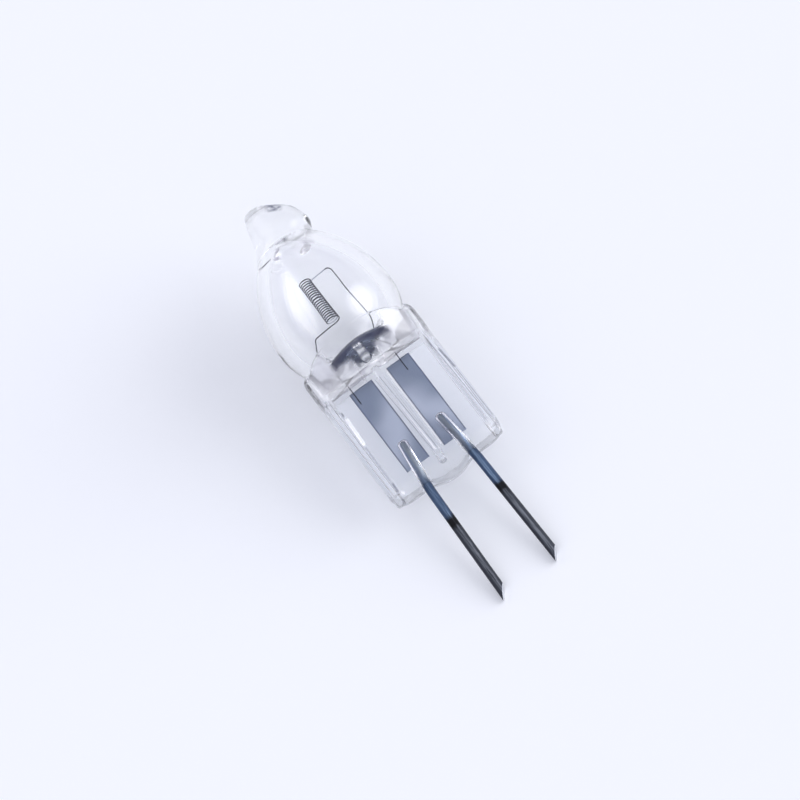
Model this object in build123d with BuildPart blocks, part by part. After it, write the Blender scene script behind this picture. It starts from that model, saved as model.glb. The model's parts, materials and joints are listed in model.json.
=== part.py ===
"""Two-pin quartz capsule lamp, in millimetres, lying at rest on its bulb and its two pin tips.

The lamp's own frame stands in the middle of the foot's bottom edge: x runs across the foot, y towards its
back and z along the axis, up to the exhaust stub. That frame is laid on its back on the floor at Z = 0,
with the stub towards +Y and the front of the foot upwards.
"""

import os
from math import asin, cos, hypot, pi, radians, sin, sqrt, tan

from build123d import *

# Bulb, blown out of the quartz tube
bulb_diameter = 9.0
bulb_wall = 0.9
crown_height = 5.93
floor_thickness = 1.55
floor_diameter = 4.3

# Exhaust stub, melted shut
stub_root_diameter = 4.5
stub_end_diameter = 2.5
stub_length = 3.5
stub_bulge = 0.18
stub_tip_rise = 0.45
stub_bore = 2.2
stub_bore_rise = 0.4

# Foot, pressed flat round the foils
foot_width = 8.8
foot_thickness = 2.1
foot_length = 9.2
foot_edge_round = 0.5
foot_corner_round = 1.05
ear_height = 2.0
shoulder_width = 7.2
shoulder_sink = 0.1
tongue_width = 3.1
tongue_drop = 0.45
tongue_root_round = 0.5
pin_mouth_radius = 0.55
pin_mouth_depth = 0.3

# Raised beads along both edges of the foot, and the rib between the foils
bead_width = 0.66
bead_height = 0.3
bead_taper = 0.45
bead_inset = 0.12
bead_bottom = 0.35
bead_top_gap = 0.4
rib_width = 0.5
rib_height = 0.14
rib_bottom = 1.3
rib_top_gap = 0.6

# Sealing foils
foil_width = 1.8
foil_gap = 1.2
foil_length = 6.9
foil_thickness = 0.03
foil_bottom = 1.6

# Hair gap that the quartz leaves round the pins and the legs
seat_clearance = 0.02

# Contact pins
pin_diameter = 0.65
pin_spacing = 4.0
pin_exposed = 9.2
pin_splay = radians(1.4)
pin_overlap = 1.95
pin_knee = 0.35
pin_bend_radius = 6.0
pin_cut = radians(58)
pin_inner_chamfer = 0.18

# Filament wire, its coil and its legs
wire_diameter = 0.075
wire_sides = 4
coil_diameter = 0.95
coil_pitch = 0.17
coil_turns = 20
coil_shift = 0.25
coil_below_widest = 0.15
leg_overlap = 1.0
left_leg_reach = 2.36
left_leg_drop = 0.9
left_leg_slant = 0.4
left_leg_inset = 0.6
right_leg_reach = 1.75
right_leg_bow = 0.17
right_leg_inset = 0.2
leg_step = 0.55
leg_bend_radius = 0.3

# Radii and heights along the axis, up from the foot's bottom edge
bulb_radius = bulb_diameter / 2
pin_radius = pin_diameter / 2
wire_radius = wire_diameter / 2
stub_root_radius = stub_root_diameter / 2
stub_end_radius = stub_end_diameter / 2
stub_bore_radius = stub_bore / 2
tip_radius = (stub_end_radius**2 + stub_tip_rise**2) / (2 * stub_tip_rise)
widest = foot_length + bulb_radius
stub_root = widest + crown_height
stub_end = stub_root + stub_length
ear_top = foot_length + ear_height
foil_top = foil_bottom + foil_length
foil_centre = (foil_gap + foil_width) / 2
cavity_radius = bulb_radius - bulb_wall
cavity_floor = foot_length + floor_thickness
floor_radius = floor_diameter / 2
crown_inset = bulb_radius - stub_root_radius
crown_radius = (crown_inset**2 + crown_height**2) / (2 * crown_inset)
bore_inset = crown_radius - bulb_radius + stub_bore_radius
bore_root = widest + sqrt((crown_radius - bulb_wall) ** 2 - bore_inset**2)

# Tilt of the axis when the bulb and the lowest points of both pin ends touch the floor
pin_reach = widest + pin_exposed
tilt_rounds = 5
tilt = 0.0
for _ in range(tilt_rounds):
    pin_drop = pin_radius * hypot(cos(tilt), tan(pin_cut) * sin(tilt))
    tilt = asin((bulb_radius - pin_drop) / pin_reach)

# Place of the lamp: its box is centred on the origin, and its lowest points are at Z = 0
pin_point = pin_exposed * cos(tilt) + pin_radius * hypot(sin(tilt), tan(pin_cut) * cos(tilt))
stub_point = (stub_end - tip_radius) * cos(tilt) + tip_radius
lamp_y = (pin_point - stub_point) / 2
lamp_z = bulb_radius - widest * sin(tilt)
lamp = Plane(origin=(0, lamp_y, lamp_z), x_dir=(1, 0, 0), z_dir=(0, cos(tilt), sin(tilt)))
front = Plane(origin=lamp.origin, x_dir=lamp.x_dir, z_dir=-lamp.y_dir)
axis = Axis(lamp.origin, lamp.z_dir)

# Foils and legs lie behind the pins: each foil touches its pin, and each leg touches its foil
foil_face = front.offset(-pin_radius)
leg_plane = front.offset(wire_radius - pin_radius)


def pin_x(height):
    """Distance of a pin's centre line from the lamp's axis, on its straight outer run."""
    return pin_spacing / 2 - (height + pin_exposed / 2) * tan(pin_splay)


def pin_rod(side, radius):
    """Round rod along a pin, from its inner end on the foil, over a knee below the foot, past its cut."""
    beyond = -pin_exposed - pin_diameter * tan(pin_cut)
    with BuildPart() as body:
        with BuildLine(front) as run:
            FilletPolyline(
                (side * foil_centre, foil_bottom + pin_overlap),
                (side * pin_x(-pin_knee), -pin_knee),
                (side * pin_x(beyond), beyond),
                radius=pin_bend_radius,
            )
        with BuildSketch(Plane(run.line @ 0, z_dir=run.line % 0)):
            Circle(radius)
        sweep(path=run.line)
    return body.part


def wire_rod(run, radius):
    """Rod of wire along a centre line."""
    with BuildPart() as body:
        with BuildSketch(Plane(run @ 0, x_dir=front.z_dir, z_dir=run % 0)):
            RegularPolygon(radius, wire_sides)
        sweep(path=run)
    return body.part


def contact_pin(side):
    """Wire pin welded to its foil, bevelled at its inner end and cut obliquely at its free end."""
    with BuildPart() as pin:
        add(pin_rod(side, pin_radius))
        chamfer(pin.faces().sort_by(axis)[-1].edges(), pin_inner_chamfer)
        cut_point = front.from_local_coords((side * pin_x(-pin_exposed), -pin_exposed, 0))
        cut_normal = lamp.x_dir * sin(pin_cut) - lamp.z_dir * cos(pin_cut)
        split(bisect_by=Plane(cut_point, z_dir=cut_normal), keep=Keep.BOTTOM)
    return pin.part


def sealing_foil(side):
    """Flat strip of foil, pressed into the quartz behind its pin and its leg."""
    with BuildPart() as foil:
        with BuildSketch(foil_face):
            with Locations((side * foil_centre, foil_bottom + foil_length / 2)):
                Rectangle(foil_width, foil_length)
        extrude(amount=-foil_thickness)
    return foil.part


# Contact pins and sealing foils, left and right
pin_left = contact_pin(-1)
pin_right = contact_pin(1)
foil_left = sealing_foil(-1)
foil_right = sealing_foil(1)

# Coil on a line along the axis: both its ends are at its back, level with the legs
coil_radius = (coil_diameter - wire_diameter) / 2
coil_bottom = widest - coil_below_widest
coil_length = coil_pitch * coil_turns
coil_top = coil_bottom + coil_length
coil_slope = coil_pitch / (2 * pi * coil_radius)
coil_foot = leg_plane.from_local_coords((-coil_shift, coil_bottom, coil_radius))
coil_plane = Plane(coil_foot, x_dir=lamp.y_dir, z_dir=lamp.z_dir)
coil_run = coil_plane.location * Edge.make_helix(coil_pitch, coil_length, coil_radius, lefthand=True)

# Legs leave the coil in line with its last turns, bend down and run through the quartz on to the foils
left_weld = -foil_centre - left_leg_inset
right_weld = foil_centre + right_leg_inset
left_turn = left_leg_reach - left_leg_slant
with BuildLine(leg_plane) as left_run:
    FilletPolyline(
        (-coil_shift, coil_bottom),
        (-left_turn, coil_bottom - (left_turn - coil_shift) * coil_slope),
        (-left_leg_reach, coil_bottom - left_leg_drop),
        (-left_leg_reach, cavity_floor + leg_step),
        (left_weld, cavity_floor - leg_step),
        (left_weld, foil_top - leg_overlap),
        radius=leg_bend_radius,
    )
with BuildLine(leg_plane) as right_run:
    FilletPolyline(
        (-coil_shift, coil_top),
        (right_leg_reach, coil_top + (right_leg_reach + coil_shift) * coil_slope),
        (right_leg_reach + right_leg_bow, cavity_floor + leg_step),
        (right_weld, cavity_floor - leg_step),
        (right_weld, foil_top - leg_overlap),
        radius=leg_bend_radius,
    )

# Filament: coil and legs of one wire
with BuildPart() as filament:
    with BuildSketch(Plane(coil_run @ 0, x_dir=front.z_dir, z_dir=coil_run % 0)):
        RegularPolygon(wire_radius, wire_sides)
    sweep(path=coil_run, is_frenet=True)
    for run in (left_run.line, right_run.line):
        add(wire_rod(run, wire_radius))

# Pressed foot of the envelope: a rounded slab with two ears beside the bulb and a tongue between the pins
bead_radius = bead_width / 2
bead_x = foot_width / 2 - bead_inset - bead_radius
bead_level = foot_thickness / 2 + bead_height - bead_radius
bead_top = ear_top - bead_top_gap
rib_length = foot_length - rib_top_gap - rib_bottom
rib_middle = rib_bottom + rib_length / 2
with BuildPart() as foot:
    with BuildSketch(front) as outline:
        with BuildLine():
            tongue = ThreePointArc((-tongue_width / 2, 0), (0, -tongue_drop), (tongue_width / 2, 0))
            Polyline(
                tongue @ 1,
                (foot_width / 2, 0),
                (foot_width / 2, ear_top),
                (-foot_width / 2, ear_top),
                (-foot_width / 2, 0),
                tongue @ 0,
            )
        make_face()
        columns = outline.vertices().group_by(Axis.X)
        fillet(columns[0] + columns[-1], foot_corner_round)
        for tongue_root in (tongue @ 0, tongue @ 1):
            fillet(outline.vertices().sort_by_distance(tongue_root)[0], tongue_root_round)
    extrude(amount=foot_thickness / 2, both=True)
    fillet(foot.faces().filter_by(front).edges(), foot_edge_round)

    # Beads that taper off at both ends along the edges, and the rib between the foils, alike on both faces
    for level in (-bead_level, bead_level):
        for x in (-bead_x, bead_x):
            with BuildSketch(front.offset(level)):
                with BuildLine():
                    Polyline(
                        (x, bead_bottom),
                        (x + bead_radius, bead_bottom + bead_taper),
                        (x + bead_radius, bead_top - bead_taper),
                        (x, bead_top),
                        close=True,
                    )
                make_face()
            revolve(axis=Axis(front.offset(level).from_local_coords((x, 0, 0)), lamp.z_dir))
    with BuildSketch(front):
        with Locations((0, rib_middle)):
            SlotOverall(rib_length, rib_width, rotation=90)
    extrude(amount=foot_thickness / 2 + rib_height, both=True)

# Quartz envelope: bulb, stub and foot of one piece
with BuildPart() as envelope:
    # Round bowl below the widest section, egg-shaped crown and closed stub above it
    root = (stub_root_radius, stub_root)
    end = (stub_end_radius, stub_end - stub_tip_rise)
    bulge = ((stub_root_radius + stub_end_radius) / 2 + stub_bulge, stub_root + stub_length / 2)
    with BuildSketch(front):
        with BuildLine():
            bowl = CenterArc((0, widest), bulb_radius, -90, 90)
            TangentArc(bowl @ 1, root, tangent=bowl % 1)
            ThreePointArc(root, bulge, end)
            TangentArc((0, stub_end), end, tangent=(1, 0))
            Line((0, stub_end), bowl @ 0)
        make_face()
    revolve(axis=axis)

    # Shoulders between the flat foot and the round bulb
    add(foot.part)
    bowl_radius = sqrt(bulb_radius**2 - (bulb_radius - ear_height) ** 2)
    with BuildSketch(lamp.offset(foot_length - shoulder_sink)):
        Rectangle(shoulder_width, foot_thickness - 2 * shoulder_sink)
    with BuildSketch(lamp.offset(ear_top)):
        Circle(bowl_radius - shoulder_sink)
    loft()

    # Sealed cavity, drawn up into the mouth of the closed stub
    with BuildSketch(front):
        with BuildLine():
            level = Line((0, cavity_floor), (floor_radius, cavity_floor))
            basin = TangentArc((cavity_radius, widest), level @ 1, tangent=(0, -1))
            dome = TangentArc(basin @ 0, (stub_bore_radius, bore_root), tangent=(0, 1))
            bore = TangentArc((0, bore_root + stub_bore_rise), dome @ 1, tangent=(1, 0))
            Line(bore @ 0, level @ 0)
        make_face()
    revolve(axis=axis, mode=Mode.SUBTRACT)

    # Seats of the embedded metal, and the funnels where the pins come out
    for side, foil, leg in ((-1, foil_left, left_run.line), (1, foil_right, right_run.line)):
        add(pin_rod(side, pin_radius + seat_clearance), mode=Mode.SUBTRACT)
        add(wire_rod(leg, wire_radius + seat_clearance), mode=Mode.SUBTRACT)
        add(foil, mode=Mode.SUBTRACT)
        with Locations(lamp.location * Pos(side * pin_x(0), 0, pin_mouth_depth / 2)):
            Cone(pin_mouth_radius, pin_radius, pin_mouth_depth, mode=Mode.SUBTRACT)

pin_left.label = "pin_left"
pin_right.label = "pin_right"
foil_left.label = "foil_left"
foil_right.label = "foil_right"
filament.part.label = "filament"
envelope.part.label = "quartz_envelope"

os.makedirs("parts", exist_ok=True)
for piece in (envelope.part, foil_left, foil_right, pin_left, pin_right, filament.part):
    export_step(piece, f"parts/{piece.label}.step")
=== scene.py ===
"""Clear quartz capsule lamp with two contact pins, lying on a pale studio floor.

Every piece is modelled in the lamp's own frame, in millimetres: x runs across the flat foot, y towards its back
and z along the axis, from the foot's bottom edge up to the melted stub. LampFrame then lays the finished mesh in
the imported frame, in metres.
"""

import json
import logging
from collections.abc import Sequence
from dataclasses import dataclass, field
from enum import Enum
from functools import reduce
from math import asin, atan2, cos, hypot, pi, radians, sin, sqrt, tan, tau

import bmesh
import bpy
from mathutils import Matrix, Vector, noise


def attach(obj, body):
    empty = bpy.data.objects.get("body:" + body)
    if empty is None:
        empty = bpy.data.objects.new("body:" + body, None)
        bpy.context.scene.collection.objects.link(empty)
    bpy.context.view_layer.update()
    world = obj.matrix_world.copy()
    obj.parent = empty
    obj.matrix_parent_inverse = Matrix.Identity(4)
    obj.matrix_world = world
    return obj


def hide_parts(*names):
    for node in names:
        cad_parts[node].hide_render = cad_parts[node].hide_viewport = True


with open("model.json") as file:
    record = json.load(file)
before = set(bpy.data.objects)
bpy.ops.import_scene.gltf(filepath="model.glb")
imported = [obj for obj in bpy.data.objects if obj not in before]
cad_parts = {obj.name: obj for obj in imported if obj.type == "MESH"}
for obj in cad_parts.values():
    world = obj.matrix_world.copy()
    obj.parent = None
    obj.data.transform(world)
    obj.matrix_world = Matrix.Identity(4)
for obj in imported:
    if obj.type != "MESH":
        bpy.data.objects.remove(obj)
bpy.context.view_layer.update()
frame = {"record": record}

LOG = logging.getLogger("lamp")
MM = 0.001
WELD = 1e-4

Colour = tuple[float, float, float]
Step = tuple[float, float]  # where a smooth step begins and ends
Band = tuple[float, float, float]  # low end, high end and soft edge of a window
Value = "Signal | float | Sequence[float]"

PALE_SKY: Colour = (0.913, 0.939, 1.0)
DIM_SKY: Colour = (0.42, 0.4, 0.53)


class Side(Enum):
    """Side of the lamp, seen from the front, with the sign of its x."""

    LEFT = -1
    RIGHT = 1


def smooth_max(first: float, second: float, blend: float) -> float:
    """Larger of two lengths, with a fillet where they are about equal.

    Args:
        first: One length.
        second: The other length.
        blend: Difference of the lengths below which the fillet begins.

    Returns:
        The larger length, raised by up to a quarter of the blend.
    """
    share = max(blend - abs(first - second), 0.0) / blend
    return max(first, second) + share * share * blend / 4


def ease(value: float, low: float, high: float) -> float:
    """Smooth step of a value, from 0 at low to 1 at high."""
    share = min(max((value - low) / (high - low), 0.0), 1.0)
    return share * share * (3 - 2 * share)


@dataclass(frozen=True)
class LampFrame:
    """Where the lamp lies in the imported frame.

    Attributes:
        place: Matrix from the lamp's own millimetres to the frame's metres.
    """

    place: Matrix

    @classmethod
    def from_mounts(cls, mounts: Sequence[dict], mount_depth: float) -> "LampFrame":
        """Works the place out from the mounts on the two pins.

        Args:
            mounts: The record's mounts, left and right, in the middle of the pins' straight runs.
            mount_depth: Distance of the mounts below the foot's bottom edge, in millimetres.

        Returns:
            The lamp's frame.
        """
        left, right = (Vector(mount["pos_m"]) for mount in mounts)
        up = -sum((Vector(mount["axis"]) for mount in mounts), Vector()).normalized()
        across = (right - left).normalized()
        turn = Matrix((across, up.cross(across), up)).transposed().to_4x4()
        origin = (left + right) / 2 + up * mount_depth * MM
        return cls(Matrix.Translation(origin) @ turn @ Matrix.Scale(MM, 4))

    def piece(self, name: str, bm: bmesh.types.BMesh, materials: Sequence[bpy.types.Material]) -> bpy.types.Object:
        """Turns a finished mesh into an object at the origin, with its place in its mesh.

        Args:
            name: Name of the piece.
            bm: The mesh in the lamp's frame, which is freed.
            materials: The piece's materials, in slot order.

        Returns:
            The object, linked to the scene.
        """
        bmesh.ops.transform(bm, matrix=self.place, verts=bm.verts)
        mesh = bpy.data.meshes.new(name)
        bm.to_mesh(mesh)
        bm.free()
        mesh.shade_smooth()
        for material in materials:
            mesh.materials.append(material)
        piece = bpy.data.objects.new(name, mesh)
        bpy.context.scene.collection.objects.link(piece)
        return piece


class Tracer:
    """Draws a line from a point, or a round wire from a ring, by straight runs, bends and windings."""

    def __init__(
        self, bm: bmesh.types.BMesh, start: Vector, heading: Vector, radius: float = 0.0, sides: int = 0
    ) -> None:
        """Puts down the first point, or the first ring of a wire.

        Args:
            bm: The mesh to draw in.
            start: Where the line begins.
            heading: Direction in which it leaves.
            radius: The wire's radius, or 0 for a bare line.
            sides: Sides of the wire's section.
        """
        self.bm = bm
        self.at = start.copy()
        if radius:
            turn = heading.to_track_quat("Z", "Y").to_matrix().to_4x4()
            place = Matrix.Translation(start) @ turn
            made = bmesh.ops.create_circle(bm, cap_ends=False, segments=sides, radius=radius, matrix=place)
            ring = made["verts"]
        else:
            ring = bmesh.ops.create_vert(bm, co=start)["vert"]
        self.front = [*ring, *{edge for vert in ring for edge in vert.link_edges}]
        self.first = list(self.front)

    def sweep(self, centre: Vector, axis: Vector, angle: float, rise: Vector, steps: int) -> None:
        """Carries the front on by a rotation and a translation.

        Args:
            centre: A point on the axis of rotation.
            axis: Direction of that axis.
            angle: Angle of the whole sweep, in radians.
            rise: Translation of the whole sweep.
            steps: Number of steps.
        """
        made = bmesh.ops.spin(
            self.bm, geom=self.front, cent=centre, axis=axis, dvec=rise / steps, angle=angle, steps=steps
        )
        self.front = made["geom_last"]
        self.at = centre + Matrix.Rotation(angle, 3, axis) @ (self.at - centre) + rise

    def run(self, end: Vector, steps: int = 1) -> None:
        """Draws a straight run up to a point."""
        self.sweep(self.at, Vector((0, 0, 1)), 0.0, end - self.at, steps)

    def follow(self, points: Sequence[Vector], bend: float, steps: int) -> None:
        """Draws straight runs to each point in turn, joined by bends.

        Args:
            points: The corners of the route after the present place, and its end.
            bend: Radius of the bends.
            steps: Steps in each bend.
        """
        for corner, beyond in zip(points, points[1:]):
            heading = (corner - self.at).normalized()
            leaving = (beyond - corner).normalized()
            angle = heading.angle(leaving)
            axis = heading.cross(leaving).normalized()
            self.run(corner - heading * bend * tan(angle / 2))
            self.sweep(self.at + axis.cross(heading) * bend, axis, angle, Vector(), steps)
        self.run(points[-1])

    def cap(self, ends: Sequence[list]) -> list[bmesh.types.BMFace]:
        """Closes open ends of a wire with one face each.

        Args:
            ends: The rings at those ends.

        Returns:
            The new faces.
        """
        faces = []
        for end in ends:
            edges = [item for item in end if isinstance(item, bmesh.types.BMEdge)]
            faces += bmesh.ops.contextual_create(self.bm, geom=edges)["faces"]
        return faces


def revolve(bm: bmesh.types.BMesh, profile: Sequence, steps: int) -> None:
    """Spins a profile once round the lamp's axis and welds its seam and its poles.

    Args:
        bm: The mesh that holds the profile.
        profile: Its points and edges.
        steps: Columns of faces round the axis.
    """
    bmesh.ops.spin(
        bm, geom=profile, cent=(0, 0, 0), axis=(0, 0, 1), dvec=(0, 0, 0), angle=tau, steps=steps, use_merge=True
    )
    bmesh.ops.remove_doubles(bm, verts=bm.verts, dist=WELD)


def add_shell(bm: bmesh.types.BMesh, shell: bmesh.types.BMesh, hollow: bool) -> None:
    """Adds a closed shell to a mesh, with its faces turned out of the solid.

    Args:
        bm: The mesh that takes the shell.
        shell: The closed shell, which is freed.
        hollow: True for the wall of a hollow, whose faces look into it.
    """
    bmesh.ops.recalc_face_normals(shell, faces=shell.faces)
    if hollow:
        bmesh.ops.reverse_faces(shell, faces=shell.faces)
    mesh = bpy.data.meshes.new("shell")
    shell.to_mesh(mesh)
    shell.free()
    bm.from_mesh(mesh)
    bpy.data.meshes.remove(mesh)


class Signal:
    """A node's output that takes part in Python arithmetic by adding Math nodes."""

    def __init__(self, bench: "NodeBench", socket: bpy.types.NodeSocket) -> None:
        """Wraps an output socket of a node on a bench."""
        self.bench = bench
        self.socket = socket

    def math(self, operation: str, *values: Value) -> "Signal":
        """Result of a Math node.

        Args:
            operation: The node's operation.
            *values: Its inputs, in order.

        Returns:
            The node's value.
        """
        return self.bench.node("ShaderNodeMath", {"operation": operation}, dict(enumerate(values)))

    def __add__(self, other: Value) -> "Signal":
        """Sum of two values."""
        return self.math("ADD", self, other)

    __radd__ = __add__

    def __mul__(self, other: Value) -> "Signal":
        """Product of two values."""
        return self.math("MULTIPLY", self, other)

    __rmul__ = __mul__

    def __sub__(self, other: Value) -> "Signal":
        """Difference of two values."""
        return self.math("SUBTRACT", self, other)

    def __rsub__(self, other: Value) -> "Signal":
        """Difference of two values, the other way round."""
        return self.math("SUBTRACT", other, self)

    def __truediv__(self, other: Value) -> "Signal":
        """Quotient of two values."""
        return self.math("DIVIDE", self, other)

    def __abs__(self) -> "Signal":
        """Value without its sign."""
        return self.math("ABSOLUTE", self)

    def step(self, low: float, high: float) -> "Signal":
        """Smooth step of a value, from 0 at low to 1 at high."""
        inputs = {"Value": self, "From Min": low, "From Max": high}
        return self.bench.node("ShaderNodeMapRange", {"interpolation_type": "SMOOTHSTEP"}, inputs)

    def window(self, low: float, high: float, soft: float) -> "Signal":
        """1 for values between low and high, fading to 0 over a soft edge inside both ends."""
        return self.step(low, low + soft) * (1 - self.step(high - soft, high))

    def larger(self, other: Value) -> "Signal":
        """The larger of two values."""
        return self.math("MAXIMUM", self, other)


class NodeBench:
    """Makes the nodes of one material or of the world."""

    MIX_COLOURS = (6, 7)
    MIX_RESULT = 2

    def __init__(self, tree: bpy.types.NodeTree) -> None:
        """Starts on an emptied node tree."""
        self.tree = tree
        tree.nodes.clear()

    def node(
        self, kind: str, settings: dict | None = None, inputs: dict | None = None, output: int | str = 0
    ) -> Signal:
        """Adds a node.

        Args:
            kind: The node's type.
            settings: Its properties, or "stops" for a ramp's places and colours.
            inputs: Values or signals of its sockets, by name or number.
            output: Number or name of the output to return.

        Returns:
            The chosen output, or the node's own first input where it has no output.
        """
        node = self.tree.nodes.new(kind)
        for name, value in (settings or {}).items():
            if name == "stops":
                self._set_stops(node.color_ramp.elements, value)
            else:
                setattr(node, name, value)
        for name, value in (inputs or {}).items():
            socket = node.inputs[name]
            if isinstance(value, Signal):
                self.tree.links.new(value.socket, socket)
            else:
                socket.default_value = (*value, 1.0) if socket.type == "RGBA" else value
        return Signal(self, node.outputs[output] if node.outputs else node.inputs[0])

    @staticmethod
    def _set_stops(elements: bpy.types.ColorRampElements, stops: Sequence[tuple[float, Colour]]) -> None:
        """Gives a ramp its stops.

        Args:
            elements: The ramp's elements.
            stops: Places from 0 to 1, and the colours there.
        """
        while len(elements) < len(stops):
            elements.new(1.0)
        for element, (place, colour) in zip(elements, stops):
            element.position = place
            element.color = (*colour, 1.0)

    def mix(self, share: Value, first: Value, second: Value) -> Signal:
        """Mix of two colours.

        Args:
            share: Share of the second colour.
            first: First colour.
            second: Second colour.

        Returns:
            The mixed colour.
        """
        inputs = {0: share, **dict(zip(self.MIX_COLOURS, (first, second)))}
        return self.node("ShaderNodeMix", {"data_type": "RGBA"}, inputs, self.MIX_RESULT)

    def ramp(self, value: Value, stops: Sequence[tuple[float, Colour]]) -> Signal:
        """Colour of a ramp at a value."""
        return self.node("ShaderNodeValToRGB", {"stops": stops}, {"Fac": value})

    def noise(self, place: Signal, scale: float, detail: float = 2.0) -> Signal:
        """Noise from 0 to 1 at a place."""
        return self.node("ShaderNodeTexNoise", None, {"Vector": place, "Scale": scale, "Detail": detail})

    def scaled(self, place: Signal, factors: Sequence[float]) -> Signal:
        """A place stretched by a factor along each axis."""
        return self.node("ShaderNodeVectorMath", {"operation": "MULTIPLY"}, {0: place, 1: factors})

    def axes(self, place: Signal) -> tuple[Signal, Signal, Signal]:
        """The three coordinates of a place."""
        parted = self.node("ShaderNodeSeparateXYZ", None, {0: place}).socket.node
        return tuple(Signal(self, output) for output in parted.outputs)

    def bump(self, height: Signal, distance: float) -> Signal:
        """Normal of a surface with a relief from 0 to 1, which stands out by a distance in metres."""
        return self.node("ShaderNodeBump", None, {"Height": height, "Distance": distance, "Strength": 1.0})

    def lamp_place(self, lamp: LampFrame) -> Signal:
        """Place on a piece in the lamp's own millimetres.

        Args:
            lamp: The lamp's frame.

        Returns:
            The place, worked out from the piece's Object coordinates.
        """
        origin, turn, scale = lamp.place.decompose()
        inputs = {"Location": origin, "Rotation": turn.to_euler(), "Scale": scale}
        inputs["Vector"] = self.node("ShaderNodeTexCoord", output="Object")
        return self.node("ShaderNodeMapping", {"vector_type": "TEXTURE"}, inputs)

    def principled(self, inputs: dict) -> Signal:
        """Principled shader with these inputs."""
        return self.node("ShaderNodeBsdfPrincipled", None, inputs)

    def diffuse(self, colour: Colour) -> Signal:
        """Matt shader of one colour."""
        return self.node("ShaderNodeBsdfDiffuse", None, {"Color": colour})

    def blend(self, share: Value, first: Signal, second: Signal) -> Signal:
        """Mix of two shaders, with a share of the second."""
        return self.node("ShaderNodeMixShader", None, {0: share, 1: first, 2: second})

    def end(self, shader: Signal) -> None:
        """Ends a material in a shader."""
        self.node("ShaderNodeOutputMaterial", None, {"Surface": shader})


def new_bench(name: str) -> tuple[bpy.types.Material, NodeBench]:
    """Makes a material with an empty node tree.

    Args:
        name: The material's name.

    Returns:
        The material and the bench for its nodes.
    """
    material = bpy.data.materials.new(name)
    material.use_nodes = True
    return material, NodeBench(material.node_tree)


@dataclass(frozen=True)
class Streak:
    """Line painted on the front face of the pressed quartz: a painted highlight or a painted shade line.

    Attributes:
        low: Place of its lower end: across the foot, and height along the photograph's line of sight.
        high: Place of its upper end.
        half_width: Half its width.
        share: How strongly it shows.
        core: Share of its width that shows fully.
        end_fade: Length over which its ends fade.
    """

    low: tuple[float, float]
    high: tuple[float, float]
    half_width: float
    share: float
    core: float = 0.4
    end_fade: float = 0.25

    def strength(self, across: Signal, sight: Signal) -> Signal:
        """How strongly the streak shows at a place.

        Args:
            across: The place across the foot.
            sight: Its height along the photograph's line of sight.

        Returns:
            The strength, from 0 up to the streak's share.
        """
        lean = (self.high[0] - self.low[0]) / (self.high[1] - self.low[1])
        off = across - (sight - self.low[1]) * lean - self.low[0]
        line = 1 - abs(off).step(self.half_width * self.core, self.half_width)
        return line * sight.window(self.low[1], self.high[1], self.end_fade) * self.share


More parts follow.
